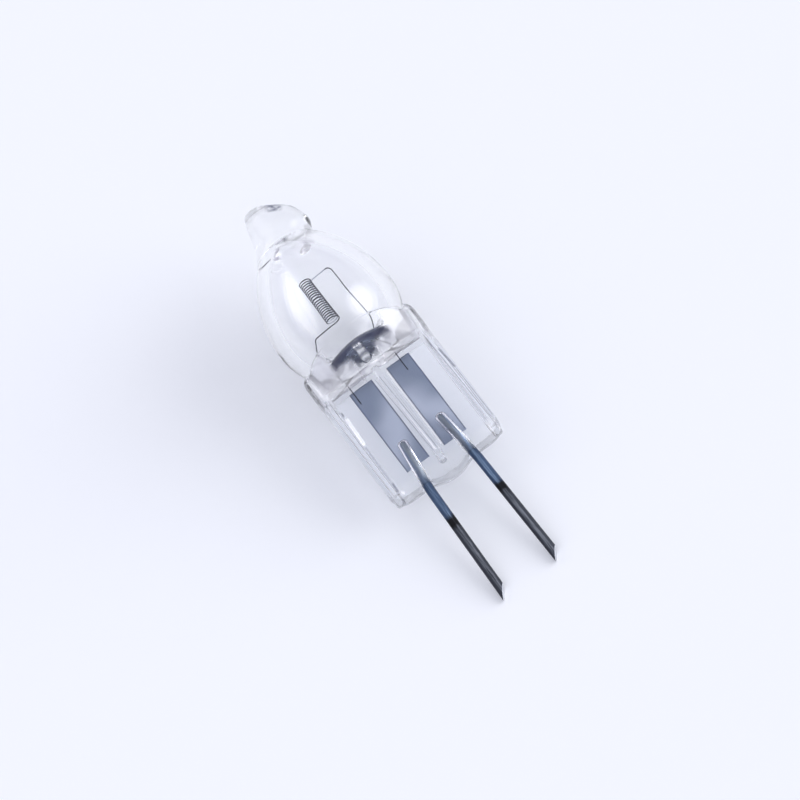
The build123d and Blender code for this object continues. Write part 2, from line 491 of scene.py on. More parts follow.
@dataclass(frozen=True)
class QuartzFinish:
    """Clear fused quartz: fire-polished, faintly wavy where it was pressed, with a trace of smear, and with painted
    white light, painted highlights and painted shade.
    """

    # Tints of the bulb, of its clouds and of the pressed foot; pale colour of the painted white light and painted
    # highlights; dark colour of the painted shade and of the grey patch on the stub's facet
    clear: Colour = (0.985, 0.988, 0.996)
    cloudy: Colour = (0.965, 0.97, 0.988)
    pressed: Colour = (0.91, 0.925, 0.97)
    painted_white: Colour = (0.95, 0.96, 0.99)
    mark: Colour = (0.09, 0.1, 0.16)
    # Body and surface
    ior: float = 1.458
    cloud_scale: float = 0.35
    cloud_range: Step = (0.4, 0.75)
    pressed_heights: Step = (8.4, 9.4)
    smear: float = 0.02
    smear_scale: float = 0.8
    smear_stretch: tuple[float, float, float] = (1.0, 1.0, 0.4)
    smear_range: Step = (0.5, 0.8)
    wave_scale: float = 0.55
    wave_height: float = 6e-6
    # Slope of the photograph's line of sight, along which "sights" are measured as heights on the mid-plane
    sight_slope: float = 0.436
    # Thin places that light passes straight through: the foot's upper edges and bottom, the stub's tip and root
    edge_thinning: float = 0.5
    edge_sides: Step = (4.1, 4.3)
    edge_sights: Band = (7.6, 12.2, 0.8)
    bottom_thinning: float = 0.68
    bottom_heights: Step = (0.4, 1.0)
    tip_thinning: float = 0.35
    tip_heights: Step = (22.2, 22.6)
    root_places: Step = (0.2, 0.6)
    root_sights: Band = (19.4, 20.5, 0.2)
    # Painted white light: pale matt colour in the corners beside the bulb and along the crease above the foot
    corner_share: float = 0.55
    corner_sides: Band = (2.0, 4.3, 0.5)
    corner_heights: Band = (8.7, 11.2, 0.5)
    crease_share: float = 0.32
    crease_sides: Band = (0.7, 4.3, 0.4)
    crease_heights: Band = (8.45, 9.8, 0.3)
    # Painted shade, a painted dark reflection: grey rim and uneven rings on the front half of the cavity's floor
    floor_heights: Band = (9.75, 10.95, 0.1)
    floor_edge: Step = (2.15, 2.25)
    floor_front: Step = (-0.4, 0.3)
    rim_radii: Step = (1.7, 1.8)
    rim_share: float = 0.85
    ring_pitch: float = 0.57
    ring_mean: float = 0.4
    ring_swing: float = 0.35
    ring_drift: float = 0.7
    ring_drift_scale: float = 1.1
    # Grey facet at the stub's tip: its middle across the lamp and in sight, its turn, its extent and its mottle
    facet: tuple[float, float] = (1.1, 22.78)
    facet_turn: float = radians(32)
    facet_along: Band = (-0.75, 0.7, 0.45)
    facet_out: Band = (-0.4, 0.6, 0.25)
    facet_front: Step = (0.2, 0.4)
    facet_scale: float = 2.2
    facet_range: Step = (0.25, 0.7)
    facet_share: float = 0.9
    # Streaks on the front face of the foot, along the beads and the rib: the dark ones painted shade lines, the
    # white ones painted highlights
    streak_front: Step = (-0.7, -0.5)
    painted_shade_streaks: tuple[Streak, ...] = (
        Streak((4.1, 0.3), (3.84, 8.8), 0.05, 0.4),
        Streak((4.24, 5.6), (4.08, 7.6), 0.1, 0.6),
        Streak((4.3, 1.2), (4.22, 5.7), 0.05, 0.35),
        Streak((-3.68, 0.8), (-3.62, 1.8), 0.08, 0.6),
        Streak((-3.57, 7.4), (-3.52, 8.0), 0.08, 0.6),
        Streak((-3.66, 1.8), (-3.62, 4.9), 0.05, 0.25),
        Streak((0.12, 1.7), (-0.12, 8.5), 0.04, 0.4),
        Streak((-0.2, 1.7), (-0.45, 8.5), 0.04, 0.35),
    )
    painted_highlight_streaks: tuple[Streak, ...] = (
        Streak((-3.58, 4.9), (-3.48, 7.5), 0.17, 0.8),
        Streak((-3.46, 0.4), (-3.46, 0.95), 0.16, 0.7),
        Streak((-0.04, 1.7), (-0.28, 8.5), 0.12, 0.55),
        Streak((0.5, 1.7), (0.5, 8.6), 0.14, 0.3),
    )

    def thinning(self, bench: NodeBench, place: Signal) -> Signal:
        """Light that passes straight through the thin places.

        Args:
            bench: Bench of the material.
            place: Place in the lamp's frame.

        Returns:
            The share of that light, 0 where the quartz is thick.
        """
        across, deep, height = bench.axes(place)
        sight = height - deep * self.sight_slope
        edge = abs(across).step(*self.edge_sides) * sight.window(*self.edge_sights)
        bottom = 1 - height.step(*self.bottom_heights)
        root = across.step(*self.root_places) * sight.window(*self.root_sights)
        tip = height.step(*self.tip_heights).larger(root)
        thin = (edge * self.edge_thinning).larger(tip * self.tip_thinning)
        return thin.larger(bottom * self.bottom_thinning)

    def painted_white_share(self, bench: NodeBench, place: Signal) -> Signal:
        """Painted white light in the corners and along the crease, and painted highlights in the white streaks.

        Args:
            bench: Bench of the material.
            place: Place in the lamp's frame.

        Returns:
            The share of the painted white, 0 where the quartz is clear.
        """
        across, _, height = bench.axes(place)
        side = abs(across)
        corner = side.window(*self.corner_sides) * height.window(*self.corner_heights)
        crease = side.window(*self.crease_sides) * height.window(*self.crease_heights)
        bands = (corner * self.corner_share).larger(crease * self.crease_share)
        return bands.larger(self.streaks(bench, place, self.painted_highlight_streaks))

    def streaks(self, bench: NodeBench, place: Signal, lines: Sequence[Streak]) -> Signal:
        """Painted highlight or painted shade streaks on the front face of the foot.

        Args:
            bench: Bench of the material.
            place: Place in the lamp's frame.
            lines: The streaks.

        Returns:
            How strongly the strongest of them shows.
        """
        across, deep, height = bench.axes(place)
        sight = height - deep * self.sight_slope
        strengths = [line.strength(across, sight) for line in lines]
        return reduce(Signal.larger, strengths) * (1 - deep.step(*self.streak_front))

    def floor_painted_shade(self, bench: NodeBench, place: Signal) -> Signal:
        """Painted shade on the front half of the cavity's floor, as a painted dark reflection: a dark rim, with
        uneven rings inside it.

        Args:
            bench: Bench of the material.
            place: Place in the lamp's frame.

        Returns:
            The share of grey.
        """
        deep, height = bench.axes(place)[1:]
        level = bench.scaled(place, (1, 1, 0))
        radius = bench.node("ShaderNodeVectorMath", {"operation": "LENGTH"}, {0: level}, "Value")
        drift = (bench.noise(place, self.ring_drift_scale) - 0.5) * self.ring_drift
        turns = (radius + drift) * (tau / self.ring_pitch)
        rings = turns.math("SINE", turns) * self.ring_swing + self.ring_mean
        share = rings.larger(radius.step(*self.rim_radii) * self.rim_share)
        inside = height.window(*self.floor_heights) * (1 - radius.step(*self.floor_edge))
        return share * inside * (1 - deep.step(*self.floor_front))

    def facet_grey_patch(self, bench: NodeBench, place: Signal) -> Signal:
        """Grey mottled patch on the small facet at the stub's tip.

        Args:
            bench: Bench of the material.
            place: Place in the lamp's frame.

        Returns:
            The share of grey.
        """
        across, deep, height = bench.axes(place)
        lean, rise = cos(self.facet_turn), sin(self.facet_turn)
        right, high = across - self.facet[0], height - deep * self.sight_slope - self.facet[1]
        along, out = right * lean - high * rise, right * rise + high * lean
        uneven = bench.noise(place, self.facet_scale).step(*self.facet_range)
        patch = along.window(*self.facet_along) * out.window(*self.facet_out) * (1 - deep.step(*self.facet_front))
        return patch * uneven * self.facet_share

    def material(self, lamp: LampFrame) -> bpy.types.Material:
        """The finish as a material.

        Args:
            lamp: The lamp's frame.

        Returns:
            The material.
        """
        material, bench = new_bench("quartz")
        place = bench.lamp_place(lamp)
        cloud = bench.noise(place, self.cloud_scale).step(*self.cloud_range)
        stretched = bench.scaled(place, self.smear_stretch)
        smear = bench.noise(stretched, self.smear_scale, detail=4.0).step(*self.smear_range)
        body = bench.mix(cloud, self.clear, self.cloudy)
        foot = 1 - bench.axes(place)[2].step(*self.pressed_heights)
        glass = bench.principled(
            {
                "Base Color": bench.mix(foot, body, self.pressed),
                "Roughness": smear * self.smear,
                "IOR": self.ior,
                "Transmission Weight": 1.0,
                "Alpha": 1 - self.thinning(bench, place),
                "Normal": bench.bump(bench.noise(place, self.wave_scale, detail=1.0), self.wave_height),
            }
        )
        # Painted white light and painted highlights: pale matt colour mixed into the glass
        glass_and_painted_white = bench.blend(self.painted_white_share(bench, place), glass, bench.diffuse(self.painted_white))
        # Painted shade: the cavity floor's dark rim and rings and the dark streaks, together with the grey patch on
        # the stub's facet
        marks = self.floor_painted_shade(bench, place).larger(self.facet_grey_patch(bench, place))
        marks = marks.larger(self.streaks(bench, place, self.painted_shade_streaks))
        bench.end(bench.blend(marks, glass_and_painted_white, bench.diffuse(self.mark)))
        return material


@dataclass(frozen=True)
class FoilFinish:
    """Bright rolled molybdenum foil: blue-grey, faintly streaked along its length, darker at its edges, with a
    painted sheen across it near the pins' inner ends.
    """

    # Painted sheen: light is the foil's colour inside the band of sheen, shade its colour outside it; edge is the
    # colour of its darker edges
    light: Colour = (0.74, 0.79, 0.9)
    shade: Colour = (0.3, 0.35, 0.46)
    edge: Colour = (0.13, 0.155, 0.24)
    edge_shares: Step = (0.86, 0.98)
    metallic: float = 0.9
    roughness: float = 0.3
    streak_roughness: float = 0.2
    streak_stretch: tuple[float, float, float] = (9.0, 9.0, 0.5)
    streak_depth: float = 4e-6
    # Band of painted sheen: its height and length, its strength, its lean across the foil and its waver
    sheen_height: float = 4.2
    sheen_length: float = 3.2
    sheen_share: float = 0.75
    sheen_lean: float = 1.2
    sheen_drift: float = 2.0
    sheen_drift_scale: float = 0.5

    def material(self, lamp: LampFrame, centre: float, half_width: float) -> bpy.types.Material:
        """The finish as a material.

        Args:
            lamp: The lamp's frame.
            centre: Distance of each foil's middle from the axis.
            half_width: Half the width of a foil.

        Returns:
            The material.
        """
        material, bench = new_bench("foil")
        place = bench.lamp_place(lamp)
        across, _, height = bench.axes(place)
        off = abs(across) - centre
        rim = abs(off).step(*(half_width * share for share in self.edge_shares))
        streak = bench.noise(bench.scaled(place, self.streak_stretch), 1.0, detail=3.0)
        # Painted sheen: a lighter band across the foil near the pins' inner ends
        drift = (bench.noise(place, self.sheen_drift_scale, detail=1.0) - 0.5) * self.sheen_drift
        drift = drift + off * self.sheen_lean
        sheen = 1 - abs(height + drift - self.sheen_height).step(0.0, self.sheen_length)
        sheet = bench.mix(sheen * self.sheen_share, self.shade, self.light)
        foil = bench.principled(
            {
                "Base Color": bench.mix(rim, sheet, self.edge),
                "Metallic": self.metallic,
                "Roughness": self.roughness + streak * self.streak_roughness,
                "Normal": bench.bump(streak, self.streak_depth),
            }
        )
        bench.end(foil)
        return material


@dataclass(frozen=True)
class PinFinish:
    """Drawn molybdenum wire: charcoal with drawing marks, tinted by the heat next to the foot, with a painted
    highlight streak along the middle of each pin.
    """

    # Tints up the wire, and the heights at which they lie
    bright: Colour = (0.26, 0.3, 0.34)
    blue: Colour = (0.055, 0.085, 0.15)
    pale_blue: Colour = (0.07, 0.11, 0.19)
    burnt: Colour = (0.01, 0.01, 0.012)
    charcoal: Colour = (0.05, 0.055, 0.068)
    tint_heights: tuple[float, ...] = (-9.5, -3.9, -3.5, -3.0, -2.6, -1.2, 0.2, 0.9)
    tint_drift: float = 0.9
    patch_scale: float = 1.6
    ramp_low: float = -10.0
    ramp_high: float = 4.0
    # Painted highlight streak along the middle of each pin, which the burnt ring interrupts
    highlight_blue: Colour = (0.21, 0.3, 0.44)
    highlight_grey: Colour = (0.2, 0.215, 0.25)
    highlight_heights: Step = (-3.1, -2.8)
    mouth_x: float = 1.888
    splay_slope: float = 0.0244
    highlight_places: Band = (-0.2, 0.16, 0.13)
    highlight_drift: float = 0.16
    highlight_range: Step = (0.3, 0.7)
    burnt_heights: Band = (-3.75, -2.75, 0.3)
    burnt_cover: float = 0.9
    # Surface
    metallic: float = 0.85
    roughness: float = 0.34
    mark_roughness: float = 0.18
    mark_stretch: tuple[float, float, float] = (14.0, 14.0, 0.6)
    mark_depth: float = 5e-6

    def on_ramp(self, height: "Signal | float") -> "Signal | float":
        """Place on the ramp of a height on the lamp's axis."""
        return (height - self.ramp_low) / (self.ramp_high - self.ramp_low)

    def material(self, lamp: LampFrame) -> bpy.types.Material:
        """The finish as a material.

        Args:
            lamp: The lamp's frame.

        Returns:
            The material.
        """
        material, bench = new_bench("pin")
        place = bench.lamp_place(lamp)
        marks = bench.noise(bench.scaled(place, self.mark_stretch), 1.0, detail=4.0)
        patch = bench.noise(place, self.patch_scale, detail=3.0)
        across, _, level = bench.axes(place)
        height = level + (patch - 0.5) * self.tint_drift
        tints = (self.charcoal,) * 2 + (self.burnt,) * 2 + (self.blue, self.pale_blue, self.blue, self.bright)
        stops = [(self.on_ramp(at), tint) for at, tint in zip(self.tint_heights, tints)]
        tinted = bench.ramp(self.on_ramp(height), stops)
        # Painted highlight: a lighter streak along the middle of each pin, broken up by the drawing marks
        off = abs(across) - (self.mouth_x - level * self.splay_slope) + (patch - 0.5) * self.highlight_drift
        highlight_tint = bench.mix(height.step(*self.highlight_heights), self.highlight_grey, self.highlight_blue)
        painted_highlight = off.window(*self.highlight_places) * marks.step(*self.highlight_range)
        painted_highlight = painted_highlight * (1 - height.window(*self.burnt_heights) * self.burnt_cover)
        wire = bench.principled(
            {
                "Base Color": bench.mix(painted_highlight, tinted, highlight_tint),
                "Metallic": self.metallic,
                "Roughness": self.roughness + marks * self.mark_roughness,
                "Normal": bench.bump(marks, self.mark_depth),
            }
        )
        bench.end(wire)
        return material


@dataclass(frozen=True)
class CutFinish:
    """Freshly sheared metal at the end of a pin."""

    bright: Colour = (0.72, 0.74, 0.78)
    dull: Colour = (0.42, 0.44, 0.48)
    metallic: float = 0.8
    roughness: float = 0.3
    tear_roughness: float = 0.2
    tear_stretch: tuple[float, float, float] = (3.0, 12.0, 3.0)
    tear_range: Step = (0.4, 0.7)
    tear_depth: float = 6e-6

    def material(self, lamp: LampFrame) -> bpy.types.Material:
        """The finish as a material.

        Args:
            lamp: The lamp's frame.

        Returns:
            The material.
        """
        material, bench = new_bench("sheared_end")
        tear = bench.noise(bench.scaled(bench.lamp_place(lamp), self.tear_stretch), 1.0, detail=3.0)
        facet = bench.principled(
            {
                "Base Color": bench.mix(tear.step(*self.tear_range), self.bright, self.dull),
                "Metallic": self.metallic,
                "Roughness": self.roughness + tear * self.tear_roughness,
                "Normal": bench.bump(tear, self.tear_depth),
            }
        )
        bench.end(facet)
        return material


@dataclass(frozen=True)
class FilamentFinish:
    """Tungsten wire: dark grey, with the faint grain of drawn wire, and painted light on the back of the coil."""

    light: Colour = (0.07, 0.075, 0.1)
    shade: Colour = (0.02, 0.022, 0.032)
    metallic: float = 0.9
    roughness: float = 0.25
    grain_roughness: float = 0.15
    grain_scale: float = 9.0
    grain_range: Step = (0.35, 0.7)
    # Painted light: pale wire colour on the back of the coil, and on the upper crossing end up to where it bends
    # into its leg
    bright: Colour = (0.62, 0.65, 0.72)
    painted_light_depths: Step = (-0.18, 0.22)
    painted_light_heights: Band = (13.62, 17.4, 0.05)
    painted_light_end: Step = (1.3, 1.5)

    def material(self, lamp: LampFrame) -> bpy.types.Material:
        """The finish as a material.

        Args:
            lamp: The lamp's frame.

        Returns:
            The material.
        """
        material, bench = new_bench("filament")
        place = bench.lamp_place(lamp)
        grain = bench.noise(place, self.grain_scale, detail=3.0)
        across, deep, height = bench.axes(place)
        drawn = bench.mix(grain.step(*self.grain_range), self.shade, self.light)
        # Painted light on the back half of the coil and on the upper crossing end
        back = deep.step(*self.painted_light_depths) * height.window(*self.painted_light_heights)
        back = back * (1 - across.step(*self.painted_light_end))
        wire = bench.principled(
            {
                "Base Color": bench.mix(back, drawn, self.bright),
                "Metallic": self.metallic,
                "Roughness": self.roughness + grain * self.grain_roughness,
            }
        )
        bench.end(wire)
        return material


@dataclass
class ContactPin:
    """Wire pin, welded to its foil inside the foot and cut obliquely at its free end."""

    SHEARED_SLOT = 1

    side: Side
    radius: float
    inner_x: float = 1.5
    inner_height: float = 3.55
    inner_round: float = 0.26
    spacing: float = 4.0
    exposed: float = 9.2
    splay: float = radians(1.4)
    knee: float = 0.35
    bend_radius: float = 6.0
    cut: float = radians(58)
    cut_round: float = 0.025
    sides: int = 40
    bend_steps: int = 6
    round_steps: int = 5
    cut_steps: int = 2

    @property
    def mount_depth(self) -> float:
        """Depth of the mount on the pin, in the middle of its straight run below the knee."""
        return (self.knee + self.exposed) / 2

    def x_at(self, height: float) -> float:
        """Place of the centre line across the foot, on the straight outer run."""
        return self.side.value * (self.spacing / 2 - (height + self.exposed / 2) * tan(self.splay))

    def inner_end(self) -> Vector:
        """Centre of the pin's end on its foil."""
        return Vector((self.side.value * self.inner_x, 0, self.inner_height))

    def knee_point(self) -> Vector:
        """Corner of the centre line, just below the foot."""
        return Vector((self.x_at(-self.knee), 0, -self.knee))

    def pocket(self, gap: float, mouth: float) -> bmesh.types.BMesh:
        """Hollow that the quartz leaves round the pin.

        Args:
            gap: Width of the hollow beside the pin.
            mouth: Height of its lower end above the foot's bottom.

        Returns:
            The closed wall of the hollow.
        """
        shell = bmesh.new()
        heading = (self.inner_end() - self.knee_point()).normalized()
        start = self.knee_point() + heading * (mouth + self.knee) / heading.z
        tracer = Tracer(shell, start, heading, self.radius + gap, self.sides)
        tracer.run(self.inner_end() + heading * gap)
        lid = tracer.cap([tracer.first, tracer.front])[-1]
        self._round(shell, lid.edges, self.inner_round + gap, self.round_steps)
        return shell

    @staticmethod
    def _round(bm: bmesh.types.BMesh, edges: Sequence[bmesh.types.BMEdge], offset: float, steps: int) -> None:
        """Rounds the rim of an end.

        Args:
            bm: The mesh.
            edges: Edges of the rim.
            offset: Width of the rounding.
            steps: Rows of faces in it.
        """
        bmesh.ops.bevel(
            bm, geom=list(edges), offset=offset, segments=steps, profile=0.5, affect="EDGES", material=-1
        )

    def build(self, lamp: LampFrame, materials: Sequence[bpy.types.Material]) -> bpy.types.Object:
        """Makes the pin.

        Args:
            lamp: The lamp's frame.
            materials: Material of the wire and of its sheared end.

        Returns:
            The pin's object.
        """
        bm = bmesh.new()
        beyond = -self.exposed - 2 * self.radius * tan(self.cut)
        end = Vector((self.x_at(beyond), 0, beyond))
        tracer = Tracer(bm, self.inner_end(), self.knee_point() - self.inner_end(), self.radius, self.sides)
        tracer.follow([self.knee_point(), end], self.bend_radius, self.bend_steps)
        lid = tracer.cap([tracer.first])[0]
        self._round(bm, lid.edges, self.inner_round, self.round_steps)
        cut_point = Vector((self.x_at(-self.exposed), 0, -self.exposed))
        cut_normal = Vector((sin(self.cut), 0, -cos(self.cut)))
        whole = [*bm.verts, *bm.edges, *bm.faces]
        bmesh.ops.bisect_plane(bm, geom=whole, plane_co=cut_point, plane_no=cut_normal, clear_outer=True)
        rim = [edge for edge in bm.edges if edge.is_boundary]
        facet = bmesh.ops.contextual_create(bm, geom=rim)["faces"]
        facet[0].material_index = self.SHEARED_SLOT
        self._round(bm, rim, self.cut_round, self.cut_steps)
        bmesh.ops.recalc_face_normals(bm, faces=bm.faces)
        return lamp.piece(f"contact_pin_{self.side.name.lower()}", bm, materials)


@dataclass
class SealingFoil:
    """Thin strip of foil, pressed into the quartz behind its pin and its filament leg."""

    side: Side
    centre: float = 1.5
    width: float = 1.8
    length: float = 6.9
    bottom: float = 1.6
    depth: float = 0.325
    thickness: float = 0.03
    ripple: float = 0.012
    ripple_scale: float = 0.8
    columns: int = 24
    rows: int = 80

    def build(self, lamp: LampFrame, material: bpy.types.Material) -> bpy.types.Object:
        """Makes the foil.

        Args:
            lamp: The lamp's frame.
            material: Its material.

        Returns:
            The foil's object.
        """
        bm = bmesh.new()
        middle = Vector((self.side.value * self.centre, self.depth, self.bottom + self.length / 2))
        size = Matrix.Diagonal((self.width / 2, self.length / 2, 1.0, 1.0))
        upright = Matrix.Translation(middle) @ Matrix.Rotation(pi / 2, 4, "X") @ size
        bmesh.ops.create_grid(bm, x_segments=self.columns, y_segments=self.rows, size=1.0, matrix=upright)
        for vert in bm.verts:
            vert.co.y += self.ripple * noise.noise(vert.co * self.ripple_scale)
        bmesh.ops.recalc_face_normals(bm, faces=bm.faces)
        towards_front = bm.faces[:][0].normal.y < 0
        bmesh.ops.solidify(bm, geom=bm.faces[:], thickness=self.thickness if towards_front else -self.thickness)
        bmesh.ops.recalc_face_normals(bm, faces=bm.faces)
        return lamp.piece(f"sealing_foil_{self.side.name.lower()}", bm, [material])


@dataclass
class Filament:
    """Coil and legs, wound and bent from one wire, whose ends are welded to the foils."""

    wire_radius: float = 0.0375
    coil_radius: float = 0.4375
    coil_pitch: float = 0.17
    coil_turns: int = 20
    coil_x: float = -0.25
    coil_bottom: float = 13.55
    depth: float = 0.2875
    bend_radius: float = 0.3
    sides: int = 10
    turn_steps: int = 36
    bend_steps: int = 6
    left_leg: tuple[tuple[float, float], ...] = (
        (-2.1, 7.5),
        (-2.1, 10.2),
        (-2.36, 11.3),
        (-2.36, 12.65),
        (-1.96, 13.44),
    )
    right_leg: tuple[tuple[float, float], ...] = ((1.75, 17.07), (1.92, 11.3), (1.7, 10.2), (1.7, 7.5))

    def on_leg_plane(self, point: tuple[float, float]) -> Vector:
        """A point of the legs, from its place across the foot and its height."""
        return Vector((point[0], self.depth, point[1]))

    def build(self, lamp: LampFrame, material: bpy.types.Material) -> bpy.types.Object:
        """Makes the filament.

        Args:
            lamp: The lamp's frame.
            material: Its material.

        Returns:
            The filament's object.
        """
        bm = bmesh.new()
        left = [self.on_leg_plane(point) for point in self.left_leg]
        right = [self.on_leg_plane(point) for point in self.right_leg]
        coil_start = self.on_leg_plane((self.coil_x, self.coil_bottom))
        axis = Vector((0, 0, 1))
        centre = coil_start - Vector((0, self.coil_radius, 0))
        rise = axis * self.coil_pitch * self.coil_turns
        tracer = Tracer(bm, left[0], left[1] - left[0], self.wire_radius, self.sides)
        tracer.follow([*left[1:], coil_start], self.bend_radius, self.bend_steps)
        winding = -tau * self.coil_turns
        tracer.sweep(centre, axis, winding, rise, self.coil_turns * self.turn_steps)
        tracer.follow(right, self.bend_radius, self.bend_steps)
        tracer.cap([tracer.first, tracer.front])
        bmesh.ops.recalc_face_normals(bm, faces=bm.faces)
        return lamp.piece("filament_wire", bm, [material])


@dataclass(frozen=True)
class Ring:
    """One ring of the quartz tube.

    Attributes:
        height: Height on the axis.
        reach: Radius of the round bulb or stub there, or 0 below the bulb.
        share: Share of the section that is left, below 1 on the closed ends.
    """

    height: float
    reach: float
    share: float = 1.0


@dataclass
class QuartzEnvelope:
    """Bulb, foot and stub of one piece: a tube, blown, pressed flat at its foot and melted shut at its tip."""

    # Bulb and stub
    bulb_radius: float = 4.5
    wall: float = 0.9
    crown_height: float = 5.93
    stub_root: float = 2.25
    stub_end: float = 1.25
    stub_length: float = 3.5
    stub_bulge: float = 0.2
    stub_fillet: float = 0.1
    stub_end_round: float = 0.45
    # Foot, and the ears at its upper corners with their lips
    foot_length: float = 9.2
    foot_width: float = 8.8
    foot_thickness: float = 2.1
    edge_round: float = 0.5
    corner_round: float = 1.05
    ear_top: float = 11.05
    ear_round: float = 0.6
    lips: dict[Side, float] = field(default_factory=lambda: {Side.LEFT: 0.12, Side.RIGHT: 0.28})
    lip_insets: Step = (0.75, 0.3)
    lip_rise: float = 0.7
    # Shoulder, whose depth and corners grow with powers of the height
    shoulder_bottom: float = 9.1
    shoulder_width: float = 7.4
    shoulder_sink: float = 0.05
    shoulder_round: float = 0.3
    shoulder_top: float = 11.2
    depth_power: float = 0.6
    corner_power: float = 0.5
    # Fillets of the bulb on the shoulder, and of the shoulder on the foot's faces and at its sides
    bulb_fillet: float = 0.3
    face_fillet: float = 0.15
    side_fillet: float = 1.05
    side_places: Step = (1.8, 3.6)
    # Bottom of the foot: the tongue, and the dimples where the pins come out
    tongue_width: float = 3.1
    tongue_drop: float = 0.45
    tongue_fade: float = 1.6
    tongue_fillet: float = 0.2
    mouth_x: float = 1.89
    mouth_radius: float = 0.55
    mouth_depth: float = 0.3
    mouth_fillet: float = 0.08
    # Beads along the foot's sides and rib along its middle
    bead_x: float = 3.95
    bead_radius: float = 0.33
    bead_height: float = 0.3
    bead_ends: tuple[float, float] = (0.35, 10.6)
    bead_taper: float = 0.45
    bead_fillet: float = 0.06
    rib_half_width: float = 0.25
    rib_height: float = 0.2
    rib_flatness: int = 4
    rib_ends: tuple[float, float] = (1.3, 8.6)
    # What the sealing flame did to the stub: lobes as size, number and phase, a lean, a sag and a facet
    melt_start: float = 1.0
    lobes: tuple[tuple[float, int, float], ...] = ((0.05, 2, -0.7), (0.03, 3, 1.1))
    lean: float = 0.48
    lean_length: float = 1.2
    sag: float = 0.2
    sag_from: float = 0.2
    facet_facing: tuple[float, float, float] = (0.6, -0.42, 0.68)
    facet_place: tuple[float, float, float] = (0.95, -0.45, -0.12)
    facet_fillet: float = 0.12
    # Hollows: the sealed cavity and the gaps round the pins
    cavity_floor: float = 10.75
    floor_radius: float = 2.15
    floor_dish: float = 0.505
    bore_radius: float = 1.1
    bore_rise: float = 0.4
    pocket_gap: float = 0.05
    pocket_mouth: float = 0.38
    # Waves of the surface, and the fineness of the mesh
    waviness: float = 0.012
    wave_scale: float = 0.7
    quarter_columns: int = 72
    outline_samples: int = 900
    dense_margin: float = 0.1
    bead_density: float = 1.8
    rib_density: float = 1.2
    spread_start: float = 0.2
    cap_rings: int = 20
    edge_rings: int = 18
    end_rings: int = 10
    closing_rings: int = 8
    ring_steps: tuple[float, ...] = (0.16, 0.05, 0.15, 0.05, 0.12)
    shoulder_margins: Step = (0.4, 0.1)
    root_margins: Step = (0.5, 0.4)
    cavity_columns: int = 144
    cavity_steps: tuple[int, int, int, int] = (12, 26, 34, 10)

    def __post_init__(self) -> None:
        """Works out the heights and radii that follow from the sizes."""
        self.widest = self.foot_length + self.bulb_radius
        self.root_height = self.widest + self.crown_height
        self.tip = self.root_height + self.stub_length
        inset = self.bulb_radius - self.stub_root
        self.crown_radius = (inset**2 + self.crown_height**2) / (2 * inset)
        self.columns = self.column_angles()

    def column_angles(self) -> list[float]:
        """Angles of the columns of faces on the foot, closer together on its beads and its rib.

        Returns:
            One angle for each column, from 0 up to a full turn.
        """
        half_width, half_depth, corner = self.foot_width / 2, self.foot_thickness / 2, self.edge_round
        angles, weights = [0.0], [0.0]
        for step in range(1, self.outline_samples + 1):
            angle = self._quarter_angle(step / self.outline_samples, half_width, half_depth, corner)
            x = half_depth / tan(angle) if angle > atan2(half_depth, half_width) else half_width
            near_bead = abs(abs(x) - self.bead_x) < self.bead_radius + self.dense_margin
            near_rib = abs(x) < self.rib_half_width + self.dense_margin
            weights.append(weights[-1] + 1.0 + self.bead_density * near_bead + self.rib_density * near_rib)
            angles.append(angle)
        quarter = []
        place = 0
        for column in range(self.quarter_columns):
            target = weights[-1] * column / self.quarter_columns
            while weights[place + 1] <= target:
                place += 1
            part = (target - weights[place]) / (weights[place + 1] - weights[place])
            quarter.append(angles[place] + part * (angles[place + 1] - angles[place]))
        half = quarter + [pi / 2] + [pi - angle for angle in reversed(quarter[1:])]
        return half + [angle + pi for angle in half]

    @staticmethod
    def _quarter_angle(share: float, half_width: float, half_depth: float, corner: float) -> float:
        """Direction of a point on a quarter of the foot's outline.

        Args:
            share: Share of the way along the quarter, from the middle of the side to the middle of the face.
            half_width: Half the foot's width.
            half_depth: Half its thickness.
            corner: Radius of its rounded edges.

        Returns:
            The angle from the x axis, in radians.
        """
        side, face = half_depth - corner, half_width - corner
        arc = corner * pi / 2
        way = share * (side + arc + face)
        if way <= side:
            return atan2(way, half_width)
        if way <= side + arc:
            turn = (way - side) / corner
            return atan2(side + corner * sin(turn), face + corner * cos(turn))
        return atan2(half_depth, max(face - (way - side - arc), 0.0))

    def round_reach(self, height: float) -> float:
        """Radius of the round bulb or stub.

        Args:
            height: Height on the axis.

        Returns:
            The radius there, or 0 below the bulb.
        """
        if height <= self.foot_length:
            return 0.0
        if height <= self.widest:
            return sqrt(self.bulb_radius**2 - (self.widest - height) ** 2)
        rise = min(height - self.widest, self.crown_radius)
        crown = self.bulb_radius - self.crown_radius + sqrt(self.crown_radius**2 - rise**2)
        share = (height - self.root_height) / self.stub_length
        stub = self.stub_root + (self.stub_end - self.stub_root) * share
        stub += 4 * self.stub_bulge * share * (1 - share)
        return smooth_max(crown, stub, self.stub_fillet)

